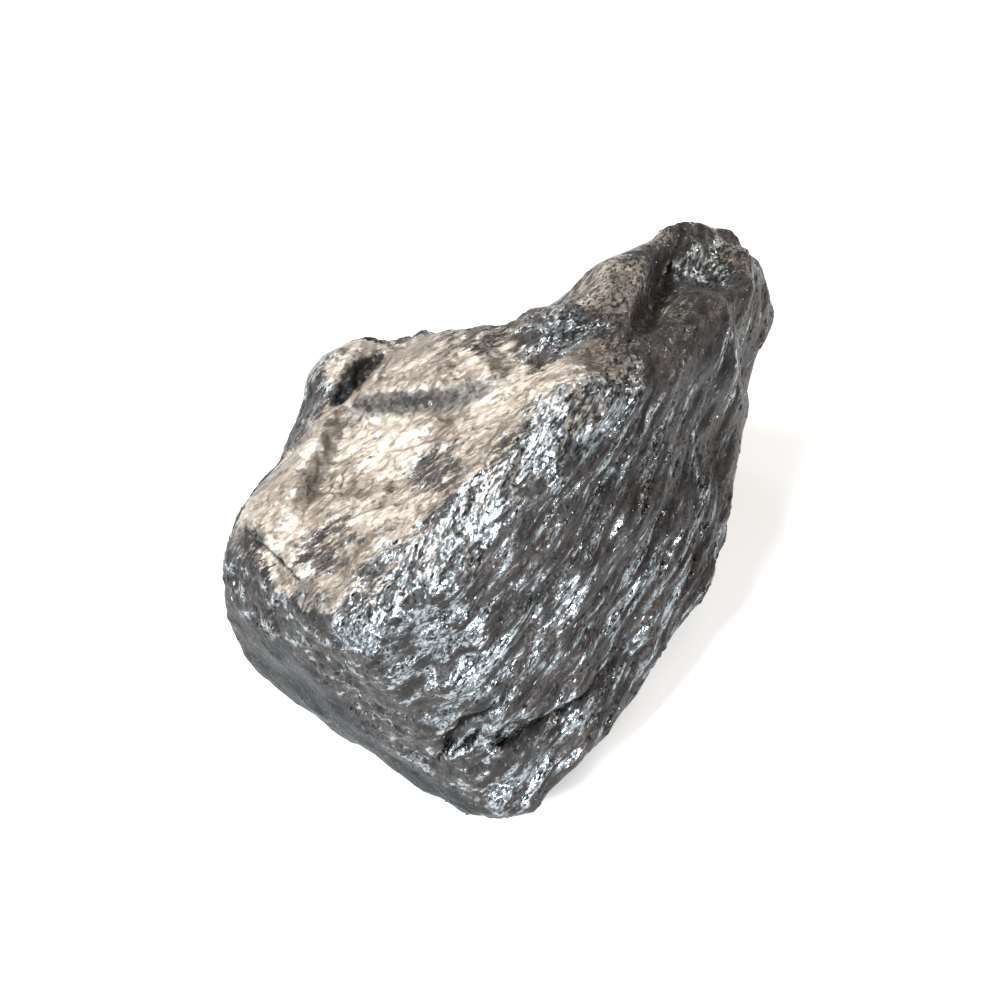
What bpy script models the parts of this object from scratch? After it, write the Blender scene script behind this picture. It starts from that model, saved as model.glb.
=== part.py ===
"""Graphite chunk: one solid lump of foliated natural graphite, lying on a worn flat underside.

The lump is a wedge. Its long axis is X, from the broken butt end at -X to the nose at +X. The cleavage
face slopes down towards +Y from a blunt crest, and the cut edges of the graphite's layers show on the
steep flank at -Y. Sizes and places below are in millimetres. The solid is built in metres, +Z up, with
its origin under the middle of its box, on the plane that it rests on.
"""

import math

import bmesh
import bpy
import numpy as np
from mathutils import Vector, noise

MM = 0.001
NODE_NAME = "graphite_chunk"

# Driving dimensions.
CREST_HEIGHT = 38.4  # height of the crest's corner where the nose begins, before wear
CREST_WEAR = 3.4  # how far the crest is worn back on each of its two sides
WORN_BASE = 0.8  # thickness worn off the underside, which leaves it flat
CUTTER_SIZE = (120.0, 10.0)  # width and height of the block that wears it off
VOXEL = 0.62  # size of the even mesh that the relief is worked on
EDGE_ROUNDS = 7  # smoothing passes that wear the fracture edges round
TRIANGLES = 9600
SHARP_ANGLE = 40.0  # degrees between two facets from which their edge is drawn sharp

# The graphite's layers: across them, and along the grain that their broken edges show.
LAYER_NORMAL = (-0.32, 0.27, 0.907)
GRAIN = (0.945, 0.154, 0.288)
FACE_NORMAL = (-0.24, 0.37, 0.90)  # out of the cleavage face

# The crest before wear, and the ways down from it over the cleavage face and over the flank.
CREST = {
    "crest_rise": (-19.0, -7.5, 30.5),
    "crest_middle": (-9.8, -7.7, 34.0),
    "crest_top": (-1.3, -8.6, 36.8),
    "crest_far": (7.2, -8.7, CREST_HEIGHT),
}
CREST_ROWS = ((1.0, 0.0), (0.3, 0.3), (0.0, 1.0))  # shares of the wear towards the face and the flank
TOWARDS_FACE = (0.15, 0.92, -0.34)
TOWARDS_FLANK = (0.20, -0.43, -0.84)

# The corners where fracture faces meet.
BLOCK_CORNERS = {
    # low end of the crest
    "crest_low": (-26.9, -3.5, 20.5),
    "crest_low_face": (-25.6, 0.6, 23.6),
    # outer edge of the cleavage face
    "face_front": (-26.4, 5.5, 21.5),
    "face_front_left": (-24.9, 12.4, 19.9),
    "face_left": (-20.1, 20.7, 19.2),
    "face_left_far": (-10.6, 20.8, 20.6),
    "shoulder": (-0.8, 24.7, 21.4),
    "shoulder_far": (2.7, 22.8, 23.2),
    "saddle": (10.2, 7.2, 31.6),
    # butt end
    "butt_top": (-26.8, 2.8, 19.5),
    "butt_top_left": (-27.6, 11.5, 15.0),
    "butt_corner_low": (-28.6, 2.1, 8.0),
    "butt_left_high": (-24.9, 19.2, 15.5),
    "butt_left": (-27.5, 18.1, 10.5),
    "butt_left_low": (-28.4, 16.4, 6.0),
    "butt_foot_left": (-28.8, 11.5, 2.0),
    "butt_foot": (-28.5, 1.0, 2.0),
    "butt_foot_right": (-28.0, -10.0, 2.0),
    "butt_right_low": (-27.8, -2.8, 6.5),
    "butt_right": (-26.0, -10.9, 6.0),
    "corner_foot": (-27.3, -15.5, 2.5),
    # lower edge of the flank
    "flank_foot_corner": (-26.0, -20.5, 4.0),
    "flank_foot_front": (-23.5, -22.5, 5.0),
    "flank_foot": (-13.0, -24.0, 7.0),
    "flank_foot_middle": (-2.0, -23.5, 9.0),
    "flank_belly": (6.6, -22.6, 10.0),
    "flank_belly_far": (14.3, -20.7, 11.0),
    "flank_far": (19.5, -18.0, 13.0),
    # back, under the cleavage face
    "back_left": (-19.5, 22.0, 9.0),
    "back_middle": (-3.0, 26.5, 11.0),
    "back_shoulder": (7.0, 24.0, 12.0),
    "back_saddle": (18.0, 14.0, 12.0),
    # underside
    "base_butt_left": (-24.5, 11.0, 0.2),
    "base_butt": (-26.0, -2.0, 0.0),
    "base_butt_right": (-24.5, -14.0, 0.0),
    "base_flank_near": (-19.0, -18.0, 0.0),
    "base_flank": (-6.0, -19.5, 0.3),
    "base_flank_far": (9.0, -17.5, 0.0),
    "base_nose_right": (20.5, -11.5, 0.2),
    "base_nose": (25.0, -3.0, 0.0),
    "base_nose_left": (22.5, 5.0, 0.1),
    "base_back_far": (13.0, 14.0, 0.0),
    "base_back": (3.0, 19.0, 0.3),
    "base_back_middle": (-7.0, 20.5, 0.0),
    "base_back_left": (-17.0, 18.0, 0.0),
}
NOSE_CORNERS = {
    "crest_far_face": (7.7, -5.6, 36.8),
    "crest_far_flank": (7.9, -10.2, 35.2),
    "rim_near": (22.5, -9.0, 31.2),
    "rim_near_flank": (23.5, -11.5, 28.0),
    "rim_far": (34.5, -8.0, 26.0),
    "saddle": (10.2, 7.2, 31.6),
    "neck_back": (23.5, 4.7, 29.9),
    "top_left": (35.3, 3.6, 27.8),
    "top_middle": (39.7, 2.6, 25.6),
    "top_right": (41.7, -1.6, 23.0),
    "tip": (42.1, -5.4, 20.0),
    "tip_right": (40.1, -8.8, 17.0),
    "tip_right_low": (36.0, -10.9, 17.0),
    "flank_root": (27.2, -14.6, 16.5),
    "flank_root_low": (19.5, -18.0, 13.0),
    "under_tip": (38.0, -5.0, 6.0),
    "under_left": (33.0, 4.0, 8.0),
    "under_right": (30.0, -11.0, 5.0),
    "web_high": (13.0, 11.0, 22.5),
    "web": (19.5, 10.0, 15.5),
    "web_low": (21.5, 9.5, 7.0),
    "base_right": (20.5, -11.5, 0.2),
    "base_left": (22.5, 5.0, 0.1),
    "root_high": (0.0, 0.0, 30.0),
    "root_low": (0.0, 0.0, 2.0),
}

# Ledges on the cleavage face, where a sheet of layers has come away: the left side of each path stands
# higher. As (path, height of the step, width of its slope, how far each side reaches).
LOWER_SHARE = 0.35  # how much of a step is sunk on its low side
LEDGES = {
    "spall_rim": (
        [
            (-19.0, 11.5, 22.8),
            (-17.1, 13.9, 22.6),
            (-12.3, 15.4, 23.3),
            (-8.1, 16.6, 23.9),
            (-5.2, 16.5, 24.6),
            (-2.7, 11.8, 27.3),
            (-0.6, 6.5, 30.0),
            (2.7, 2.4, 32.5),
            (5.9, 1.0, 33.9),
        ],
        2.1,
        2.2,
        10.0,
    ),
    "inner_sheet": (
        [(-14.5, 6.5, 26.3), (-8.6, 6.8, 27.8), (-5.6, 3.8, 29.9), (-3.2, -0.5, 32.3)],
        0.7,
        0.8,
        4.0,
    ),
    "corner_sheet": (
        [(-21.0, 20.0, 18.0), (-22.0, 15.1, 19.9), (-23.3, 10.6, 21.3), (-24.3, 5.0, 22.6)],
        0.7,
        0.6,
        3.5,
    ),
}

# Furrows and cracks, as (path, width, depth). A negative depth stands proud, as a rib.
FURROWS = {
    "cleft": ([(1.9, 19.0, 25.5), (-1.9, 18.6, 24.7), (-5.8, 18.8, 23.6)], 1.1, 1.9),
    "corner_crack": ([(-21.1, 19.0, 18.3), (-22.4, 14.9, 19.9), (-23.6, 10.4, 21.3)], 0.7, 0.8),
    "nose_cleft": (
        [(31.5, 0.5, 28.5), (28.0, -0.8, 29.7), (22.0, -3.6, 32.1), (17.0, -5.4, 34.2)],
        1.7,
        1.7,
    ),
    "nose_left_rib": (
        [(12.0, 4.0, 33.0), (18.0, 3.5, 32.8), (25.0, 2.8, 31.0), (33.0, 2.2, 28.3)],
        2.2,
        -0.9,
    ),
    "nose_right_rib": (
        [(20.0, -8.6, 32.0), (28.0, -8.2, 29.2), (35.0, -7.0, 26.0), (38.5, -3.0, 24.6)],
        1.8,
        -0.7,
    ),
    "flank_crack_front": (
        [(-23.4, -16.4, 13.3), (-19.0, -18.5, 13.1), (-14.6, -20.2, 12.6)],
        0.9,
        1.5,
    ),
    "flank_crack_low": (
        [(-26.8, -10.6, 11.3), (-25.3, -12.8, 13.6), (-23.2, -14.6, 14.9)],
        0.8,
        0.9,
    ),
    "flank_crack_far": ([(-11.5, -20.7, 12.8), (-7.6, -21.1, 13.0), (-3.4, -21.4, 12.9)], 0.7, 0.7),
    "flank_nick": ([(12.0, -19.3, 15.8), (9.6, -19.9, 15.0), (7.4, -20.6, 14.0)], 0.7, 0.8),
    "flank_rib": ([(-15.0, -15.5, 21.0), (-5.0, -16.0, 23.5), (6.0, -15.5, 26.0)], 1.5, -0.5),
    "back_ledge": (
        [(-17.0, 22.0, 13.0), (-6.0, 25.6, 15.5), (5.0, 24.2, 18.0), (14.0, 14.5, 22.5)],
        1.3,
        0.9,
    ),
    "back_ledge_low": (
        [(-12.0, 23.0, 6.5), (0.0, 25.0, 7.5), (10.0, 20.0, 9.0), (20.0, 10.0, 12.0)],
        1.2,
        0.8,
    ),
}

# Scooped breaks, as (centre, radius, depth). A negative depth is a swelling.
HOLLOWS = {
    "face_dish": ((-10.0, 7.5, 27.5), 8.5, 1.0),
    "nose_dish": ((31.0, -3.6, 28.2), 5.2, 1.7),
    "rim_notch": ((31.2, -12.9, 17.0), 4.4, 2.6),
    "outer_bay": ((-12.5, 22.0, 18.5), 7.5, 2.1),
    "outer_bay_low": ((-22.5, 20.5, 12.5), 4.0, 0.7),
    "front_boss": ((-26.2, -3.6, 20.8), 3.4, -0.7),
    "front_patch": ((-28.0, -1.0, 13.5), 4.0, 0.9),
    "crest_boss": ((-18.5, -6.5, 30.0), 4.0, -0.6),
    "crest_boss_far": ((-8.0, -7.5, 33.0), 4.5, -0.5),
    "crest_dip": ((-13.5, -7.5, 31.5), 3.5, 0.5),
    "flank_scoop": ((18.0, -14.5, 21.0), 8.0, 1.0),
    "flank_scoop_low": ((-6.0, -21.0, 14.0), 7.0, 0.8),
    "back_scoop": ((2.0, 25.0, 14.0), 8.0, 1.5),
    "back_neck": ((21.5, 8.5, 14.0), 7.0, 1.2),
    "under_nose": ((36.0, -3.0, 8.0), 7.0, 1.5),
}

# Scales and bands where the layers break off, and broader lumps: how deep, how large (along the grain,
# across it, across the layers), and the seed that places them.
LAYER_SCALES = {"depth": 0.95, "sizes": (8.0, 4.0, 2.3), "seed": 3.7}
LAYER_BANDS = {"depth": 0.32, "sizes": (24.0, 15.0, 3.2), "seed": 11.3}
LUMPS = {"depth": 0.30, "sizes": (6.0, 5.0, 4.0), "seed": 23.9}
MEAN_SCALE = 0.5  # taken off the scales' height, so that they don't swell the lump
BAND_SHARPNESS = 4.0  # how abrupt the step from one band to the next is
CUT_ACROSS = 0.6  # how far a surface turns from the layers' plane before they show in full
BUTT_TURN = (-0.67, -1.0)  # X of the normal where the smooth butt end begins, and where it is smoothest
BUTT_SMOOTHNESS = 0.7  # share of the layers' relief that is missing there
END_FADE = 0.17  # share of a path's length over which it fades in and out
REST_CLEAR = 1.4  # the relief dies away over this height above the underside

GRAPHITE = {"colour": (0.125, 0.12, 0.115), "metallic": 0.85, "roughness": 0.42}


def clear_scene():
    for obj in list(bpy.data.objects):
        bpy.data.objects.remove(obj, do_unlink=True)


def new_collection(name):
    collection = bpy.data.collections.new(name)
    bpy.context.scene.collection.children.link(collection)
    return collection


def hull(name, corners, collection):
    """The convex block whose corners these are."""
    bm = bmesh.new()
    for corner in corners:
        bm.verts.new(Vector(corner) * MM)
    made = bmesh.ops.convex_hull(bm, input=bm.verts)
    left_over = made["geom_interior"] + made["geom_unused"]
    inside = {item for item in left_over if isinstance(item, bmesh.types.BMVert)}
    bmesh.ops.delete(bm, geom=list(inside), context="VERTS")
    bmesh.ops.recalc_face_normals(bm, faces=bm.faces)
    mesh = bpy.data.meshes.new(name)
    bm.to_mesh(mesh)
    bm.free()
    obj = bpy.data.objects.new(name, mesh)
    collection.objects.link(obj)
    return obj


def as_helper(obj):
    obj.hide_render = True
    obj.display_type = "WIRE"
    return obj


def worn_crest():
    """Rows of corners in place of the crest's one, so that it is blunt."""
    to_face, to_flank = Vector(TOWARDS_FACE) * CREST_WEAR, Vector(TOWARDS_FLANK) * CREST_WEAR
    rows = [to_face * face + to_flank * flank for face, flank in CREST_ROWS]
    return [Vector(corner) + row for corner in CREST.values() for row in rows]


def apply_modifiers(obj):
    """Replaces obj's mesh by the one that its modifiers make."""
    graph = bpy.context.evaluated_depsgraph_get()
    mesh = bpy.data.meshes.new_from_object(obj.evaluated_get(graph))
    obj.modifiers.clear()
    obj.data = mesh


def add_remesh(obj):
    even = obj.modifiers.new("Even", "REMESH")
    even.mode = "VOXEL"
    even.voxel_size = VOXEL * MM


def rough_out(block, nose):
    """Block and nose as one closed surface of even mesh, its fracture edges worn round."""
    union = block.modifiers.new("Nose", "BOOLEAN")
    union.operation = "UNION"
    union.object = nose
    add_remesh(block)
    worn = block.modifiers.new("Worn", "SMOOTH")
    worn.factor = 0.5
    worn.iterations = EDGE_ROUNDS
    apply_modifiers(block)


def unit(vector):
    return np.array(vector) / np.linalg.norm(vector)


def ease(value):
    """0 up to 0, 1 from 1 on, and smooth between."""
    value = np.clip(value, 0.0, 1.0)
    return value * value * (3.0 - 2.0 * value)


def from_path(points, path, up=FACE_NORMAL):
    """Distance to the path, plus on its left seen from above, and how near each end is, from 0 to 1."""
    path = np.array(path)
    lengths = np.linalg.norm(np.diff(path, axis=0), axis=1)
    nearest = np.full(len(points), np.inf)
    left = np.zeros(len(points))
    run = np.zeros(len(points))
    for index, (start, stretch) in enumerate(zip(path, np.diff(path, axis=0))):
        share = np.clip((points - start) @ stretch / lengths[index] ** 2, 0.0, 1.0)
        offset = points - start - share[:, None] * stretch
        distance = np.linalg.norm(offset, axis=1)
        closer = distance < nearest
        nearest[closer] = distance[closer]
        left[closer] = np.sign(offset @ np.cross(up, stretch))[closer]
        run[closer] = lengths[:index].sum() + share[closer] * lengths[index]
    run /= lengths.sum()
    return nearest * left, ease(np.minimum(run, 1.0 - run) / END_FADE)


def layered_noise(points, sizes, seed):
    """Noise from -1 to 1, drawn out along the grain and flattened across the layers."""
    across_layers = unit(LAYER_NORMAL)
    grain = unit(GRAIN)
    frame = np.array([grain, np.cross(across_layers, grain), across_layers])
    places = points @ frame.T / np.array(sizes) + seed
    return np.array([noise.noise(Vector(place)) for place in places])


def ledges(points):
    rise = np.zeros(len(points))
    for path, height, slope, reach in LEDGES.values():
        beside, inside_ends = from_path(points, path)
        fade = np.exp(-((np.abs(beside) / reach) ** 2))
        rise += height * (ease(beside / slope + 0.5) - LOWER_SHARE) * fade * inside_ends
    return rise


def furrows(points):
    rise = np.zeros(len(points))
    for path, width, depth in FURROWS.values():
        beside, inside_ends = from_path(points, path)
        rise -= depth * np.exp(-((beside / width) ** 2)) * inside_ends
    return rise


def hollows(points):
    rise = np.zeros(len(points))
    for centre, radius, depth in HOLLOWS.values():
        distance = np.linalg.norm(points - np.array(centre), axis=1)
        rise -= depth * ease(1.0 - distance / radius)
    return rise


def layer_relief(points, normals):
    """Scales and bands of broken layers, which show where the surface cuts across them."""
    scales, bands, lumps = (
        layered_noise(points, kind["sizes"], kind["seed"]) for kind in (LAYER_SCALES, LAYER_BANDS, LUMPS)
    )
    scales = LAYER_SCALES["depth"] * (2.0 * np.abs(scales) - MEAN_SCALE)
    bands = LAYER_BANDS["depth"] * np.tanh(BAND_SHARPNESS * bands)
    turned = 1.0 - np.abs(normals @ unit(LAYER_NORMAL))
    first, last = BUTT_TURN
    butt = ease((normals[:, 0] - first) / (last - first))
    broken = ease(turned / CUT_ACROSS) * (1.0 - BUTT_SMOOTHNESS * butt)
    return (scales + bands) * broken + LUMPS["depth"] * lumps


def carve(obj):
    """Works the relief into the surface."""
    mesh = obj.data
    points = np.empty(len(mesh.vertices) * 3)
    mesh.vertices.foreach_get("co", points)
    points = points.reshape(-1, 3) / MM
    normals = np.array([vertex.normal for vertex in mesh.vertices])
    rise = ledges(points) + furrows(points) + hollows(points) + layer_relief(points, normals)
    rise *= ease(points[:, 2] / REST_CLEAR)
    points += rise[:, None] * normals
    mesh.vertices.foreach_set("co", (points * MM).ravel())
    mesh.update()


def reduce_mesh(obj):
    add_remesh(obj)
    apply_modifiers(obj)
    reduced = obj.modifiers.new("Reduced", "DECIMATE")
    reduced.ratio = TRIANGLES / (2 * len(obj.data.polygons))
    reduced.use_collapse_triangulate = True
    apply_modifiers(obj)


def wear_base_flat(obj, collection):
    """Takes WORN_BASE off the underside, with a cutter wider than the lump."""
    width, depth = CUTTER_SIZE
    bm = bmesh.new()
    bmesh.ops.create_cube(bm, size=1.0)
    bmesh.ops.scale(bm, vec=Vector((width, width, depth)) * MM, verts=bm.verts)
    bmesh.ops.translate(bm, vec=Vector((0.0, 0.0, WORN_BASE - depth / 2.0)) * MM, verts=bm.verts)
    mesh = bpy.data.meshes.new("ground_cutter")
    bm.to_mesh(mesh)
    bm.free()
    cutter = as_helper(bpy.data.objects.new("ground_cutter", mesh))
    collection.objects.link(cutter)
    cut = obj.modifiers.new("Worn base", "BOOLEAN")
    cut.operation = "DIFFERENCE"
    cut.object = cutter
    apply_modifiers(obj)


def centre_on_base(obj):
    """Puts the origin under the middle of the box, on the underside."""
    corners = np.array([vertex.co for vertex in obj.data.vertices])
    low, high = corners.min(axis=0), corners.max(axis=0)
    middle = (low + high) / 2.0
    for vertex in obj.data.vertices:
        vertex.co -= Vector((middle[0], middle[1], low[2]))
    obj.data.update()


def graphite_material():
    material = bpy.data.materials.new("Graphite")
    material.use_nodes = True
    shader = material.node_tree.nodes["Principled BSDF"]
    shader.inputs["Base Color"].default_value = (*GRAPHITE["colour"], 1.0)
    shader.inputs["Metallic"].default_value = GRAPHITE["metallic"]
    shader.inputs["Roughness"].default_value = GRAPHITE["roughness"]
    return material


def main():
    clear_scene()
    parts = new_collection("Graphite chunk")
    helpers = new_collection("Helpers")
    chunk = hull(NODE_NAME, [*BLOCK_CORNERS.values(), *worn_crest()], parts)
    nose = as_helper(hull("nose_block", NOSE_CORNERS.values(), helpers))
    rough_out(chunk, nose)
    carve(chunk)
    reduce_mesh(chunk)
    wear_base_flat(chunk, helpers)
    centre_on_base(chunk)
    chunk.data.materials.clear()
    chunk.data.materials.append(graphite_material())
    chunk.data.shade_smooth()
    chunk.data.set_sharp_from_angle(angle=math.radians(SHARP_ANGLE))


main()
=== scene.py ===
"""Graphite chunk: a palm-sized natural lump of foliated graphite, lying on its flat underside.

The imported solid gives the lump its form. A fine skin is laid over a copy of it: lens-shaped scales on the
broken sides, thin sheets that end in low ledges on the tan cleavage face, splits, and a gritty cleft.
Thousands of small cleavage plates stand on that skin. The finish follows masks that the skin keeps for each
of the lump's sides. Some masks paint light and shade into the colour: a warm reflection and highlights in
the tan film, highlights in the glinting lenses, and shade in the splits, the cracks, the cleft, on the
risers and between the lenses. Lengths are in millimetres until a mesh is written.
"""

import math

import bmesh
import bpy
import numpy as np
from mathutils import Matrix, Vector


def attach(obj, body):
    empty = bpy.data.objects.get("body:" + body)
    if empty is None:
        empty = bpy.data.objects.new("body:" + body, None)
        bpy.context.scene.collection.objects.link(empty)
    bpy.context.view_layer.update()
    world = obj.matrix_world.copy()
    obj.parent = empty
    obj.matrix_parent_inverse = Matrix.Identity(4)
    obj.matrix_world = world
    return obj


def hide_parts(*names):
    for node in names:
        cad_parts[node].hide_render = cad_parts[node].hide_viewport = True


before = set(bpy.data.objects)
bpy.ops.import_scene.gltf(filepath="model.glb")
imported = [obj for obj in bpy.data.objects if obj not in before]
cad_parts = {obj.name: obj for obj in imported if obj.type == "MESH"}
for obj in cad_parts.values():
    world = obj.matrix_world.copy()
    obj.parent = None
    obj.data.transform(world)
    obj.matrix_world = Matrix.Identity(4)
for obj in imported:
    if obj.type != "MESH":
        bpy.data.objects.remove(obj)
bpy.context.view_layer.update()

MM = 0.001
LUMP = "graphite_chunk"

# How the graphite is layered: the layers' normal, and the grain that the broken sides show along them.
LAYER_NORMAL = (-0.32, 0.27, 0.91)
GRAIN = (0.94, 0.15, 0.29)
# How the cleavage face, the butt end and the front are turned, and the streaks and scratches on them.
FACE_NORMAL = (-0.24, 0.37, 0.90)
FACE_HEIGHT = 30.0  # how far the cleavage face's plane is from the origin
STREAKS = (0.80, -0.46, 0.42)
BUTT_NORMAL = (-0.98, 0.11, 0.15)
BUTT_SCRATCHES = (0.04, -0.95, -0.30)
FRONT_NORMAL = (-0.67, -0.58, 0.46)
CREST_EDGE = (-6.9, -0.215)  # seen from above, the crest starts at Y = first + second * X
CREST_WIDTH = 6.5
FILM_AND_REFLECTION_FADE = 6.0  # over this distance from the crest the tan film, partly its own colour and partly a painted warm reflection, gets whole
SMOOTH_BUTT_TOP = ((-9.0, 5.5), (0.0, 10.5), (3.0, 14.5), (8.0, 13.5), (16.0, 12.5))  # its Y and height

# The sides' borders are ragged: in tongues along the streaks, and finely.
RAGGED_SIZES = (7.0, 1.1, 3.0)
FINE_RAGGED_SIZE = 1.2
# Between which two values each side of the lump starts and is whole. A turn is the cosine of the angle
# between the lump's form and the side's own normal.
FACE_TURN = (0.72, 0.88)
FACE_RISE = (-3.2, -1.0)  # above the face's plane
FACE_END = (14.0, 6.0)  # X: the face ends before the nose
CREST_RISE = (-6.0, -3.0)  # above the face's plane
CREST_END = (12.0, 4.0)  # X
FRONT_TURN = (0.80, 0.94)
BUTT_TURN = (0.80, 0.92)
BEVEL_TURN = (0.74, 0.86)  # the gritty bevel between the cleavage face and the butt end
WORN_END = (4.0, 14.0)  # X: the nose is smoother
WORN_SHARE = 0.60  # how much of its relief is missing there
WORN_FOOT = (3.0, 9.0)  # height: the lump is smoother near the floor
FOOT_SHARE = 0.35  # how much of its relief is left there

SKIN_VOXEL = 0.352  # grid of the fine skin
FACET_SMOOTHING = 7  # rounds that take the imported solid's facets away
FORM_SMOOTHING = 60  # rounds that leave only the lump's broad form in the normals
BASE_BAND = (0.25, 1.2)  # heights between which the skin's relief fades in above the flat underside
STRAY_LENGTH = 1.6  # the waves by which a crack, a ledge or a riser strays from its points
SEEDS = {
    "edges": 17, "fine_edges": 19, "stray": 80, "grains": 91, "tan": 101, "bare": 113, "glitter": 127,
    "pale": 139,
}

# Lens-shaped scales on the broken faces: size along the grain, across it and through the layers, how much
# they stand out or lean, and the split round each.
SCALES = {
    "large": {"sizes": (10.0, 3.4, 1.6), "rise": 0.13, "lean": 0.34, "split": 0.10, "seed": 11},
    "small": {"sizes": (4.2, 1.5, 0.8), "rise": 0.03, "lean": 0.12, "split": 0.03, "seed": 23},
}
# Thin sheets on the cleavage face: size along the streaks, across them and through the face.
SHEETS = {
    "broad": {"sizes": (8.0, 3.6, 30.0), "rise": 0.14, "lean": 0.34, "split": 0.06, "seed": 37},
    "flaky": {"sizes": (2.6, 1.3, 30.0), "rise": 0.06, "lean": 0.20, "split": 0.03, "seed": 41},
}
WANDER = 0.35  # how far the outlines of scales and sheets stray, as a share of their size
SPLIT_REACH = 0.14  # how far the split round a scale or a sheet reaches, as a share of its size
# Fine streaks on the cleavage face, broad waves and grit: size along three axes and depth.
STREAK_GRAIN = {"sizes": (3.0, 0.6, 30.0), "depth": 0.06, "seed": 53}
WAVES = {"sizes": (9.0, 6.0, 5.0), "depth": 0.20, "seed": 61}
GRIT = {"sizes": (1.6, 0.8, 0.8), "depth": 0.02, "seed": 71}

# Low swellings and hollows along the lump's outlines: middle, radius, height.
SWELLS = {
    "far_shoulder": ((-8.0, 21.8, 22.4), 6.0, 1.2),
    "far_edge": ((-2.4, 16.8, 25.4), 5.5, -1.0),
    "left_edge": ((-13.8, 22.3, 20.5), 4.5, -0.9),
    "saddle": ((12.0, 4.8, 29.6), 6.0, -1.0),
    "rim": ((17.4, 3.3, 29.7), 3.5, 0.4),
    "groove_lip": ((23.4, 2.2, 28.0), 4.5, -0.8),
    "nose_notch": ((31.4, -1.2, 24.8), 2.6, 0.5),
    "nose_knob": ((33.0, -2.5, 23.6), 2.0, -0.4),
    "nose_side": ((31.4, -5.5, 24.6), 3.5, 0.7),
    "nose_flank": ((28.4, -11.5, 18.3), 5.5, -0.7),
    "neck": ((22.8, -12.9, 19.5), 5.5, -0.8),
    "belly": ((-4.5, -23.2, 10.5), 5.5, -0.6),
    "low_flank": ((-14.5, -24.0, 8.8), 6.0, -0.5),
    "foot": ((-24.8, -24.0, 6.2), 6.0, -0.9),
}

# Splits in the lump: the points that each follows, which way its ground faces, its half width, its depth,
# and how dark the painted shade in it is.
SPLITS = {
    "flank_front": {
        "points": (
            (-29.3, -17.0, 11.6), (-28.1, -18.0, 11.2), (-24.9, -19.0, 11.7), (-21.8, -20.3, 11.7),
            (-17.9, -21.6, 12.1), (-15.3, -21.2, 12.0),
        ),
        "facing": (-0.2, -0.8, 0.55), "width": 0.46, "depth": 1.0, "dark": 1.0,
    },
    "front_upper": {
        "points": (
            (-33.7, -12.7, 7.9), (-32.9, -13.1, 10.1), (-32.2, -13.1, 11.3), (-30.3, -13.9, 14.5),
            (-28.7, -15.4, 16.2), (-27.2, -15.9, 17.0),
        ),
        "facing": (-0.7, -0.5, 0.5), "width": 0.40, "depth": 0.8, "dark": 1.0,
    },
    "front_lower": {
        "points": ((-32.3, -14.1, 10.8), (-31.1, -14.8, 11.7), (-29.4, -16.0, 14.1)),
        "facing": (-0.7, -0.5, 0.5), "width": 0.40, "depth": 0.8, "dark": 1.0,
    },
    "flank_nick": {
        "points": ((5.4, -20.2, 15.0), (3.0, -20.8, 14.2), (0.8, -21.5, 13.2)),
        "facing": (-0.1, -0.9, 0.4), "width": 0.40, "depth": 0.5, "dark": 0.8,
    },
    "corner": {
        "points": (
            (-28.2, 17.5, 18.5), (-28.6, 15.8, 18.9), (-28.8, 13.6, 19.4), (-29.3, 11.6, 19.7),
            (-30.3, 7.6, 21.1),
        ),
        "facing": (-0.5, 0.35, 0.8), "width": 0.36, "depth": 0.8, "dark": 1.0,
    },
    "nose": {
        "points": (
            (29.1, 1.1, 26.3), (26.9, 0.4, 27.2), (23.4, -1.0, 27.5), (19.8, -2.4, 28.0), (15.8, -3.7, 29.5),
            (11.8, -5.1, 31.3), (7.8, -6.0, 33.6),
        ),
        "facing": (0.3, -0.1, 0.93), "width": 1.7, "depth": 1.1, "dark": 0.62,
    },
}
# Two edges of broken sheets on the cleavage face.
INNER_SHEET_EDGE = ((-10.7, 0.5, 30.6), (-11.6, 3.8, 28.7), (-13.5, 6.8, 26.5), (-14.6, 9.4, 24.9))
LOWER_SHEET_EDGE = ((-18.9, 3.1, 26.8), (-22.5, 6.5, 24.7), (-24.7, 9.4, 23.0), (-26.9, 10.4, 21.8))
# Ledges on the cleavage face: the skin rises to the left of the points by this much, and
# sinks back over the reach.
LEDGES = {
    "inner": {
        "points": INNER_SHEET_EDGE,
        "rise": 0.45, "slope": 0.5, "reach": 3.5,
    },
    "lower": {
        "points": LOWER_SHEET_EDGE,
        "rise": 0.40, "slope": 0.5, "reach": 3.5,
    },
    "corner": {
        "points": ((-28.2, 17.5, 18.5), (-28.8, 13.6, 19.4), (-29.9, 9.6, 20.7), (-30.6, 7.0, 21.3)),
        "rise": 0.55, "slope": 0.4, "reach": 3.0,
    },
    "left_riser": {
        "points": (
            (-11.5, 15.4, 24.5), (-14.1, 16.3, 23.6), (-18.9, 14.5, 22.8), (-22.9, 13.3, 22.2),
            (-25.2, 13.4, 22.0),
        ),
        "rise": -0.65, "slope": 1.2, "reach": 4.0,
    },
    "upper_riser": {
        "points": ((-3.5, 2.1, 32.3), (-7.6, 6.2, 29.2), (-9.9, 12.3, 26.0), (-11.5, 15.4, 24.5)),
        "rise": -0.4, "slope": 1.3, "reach": 3.5,
    },
}
# The cleft near the far corner: the points along it, its half width, how deep it is, and its grains' size.
CLEFT = {
    "points": ((-5.1, 18.3, 24.4), (-7.0, 18.1, 23.5), (-9.3, 18.1, 23.0), (-11.4, 18.0, 22.8)),
    "width": 0.95, "depth": 0.7, "grain": 0.55,
}
FLAT_DISTANCE = 0.25  # share of a distance out of its ground's plane that counts
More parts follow.
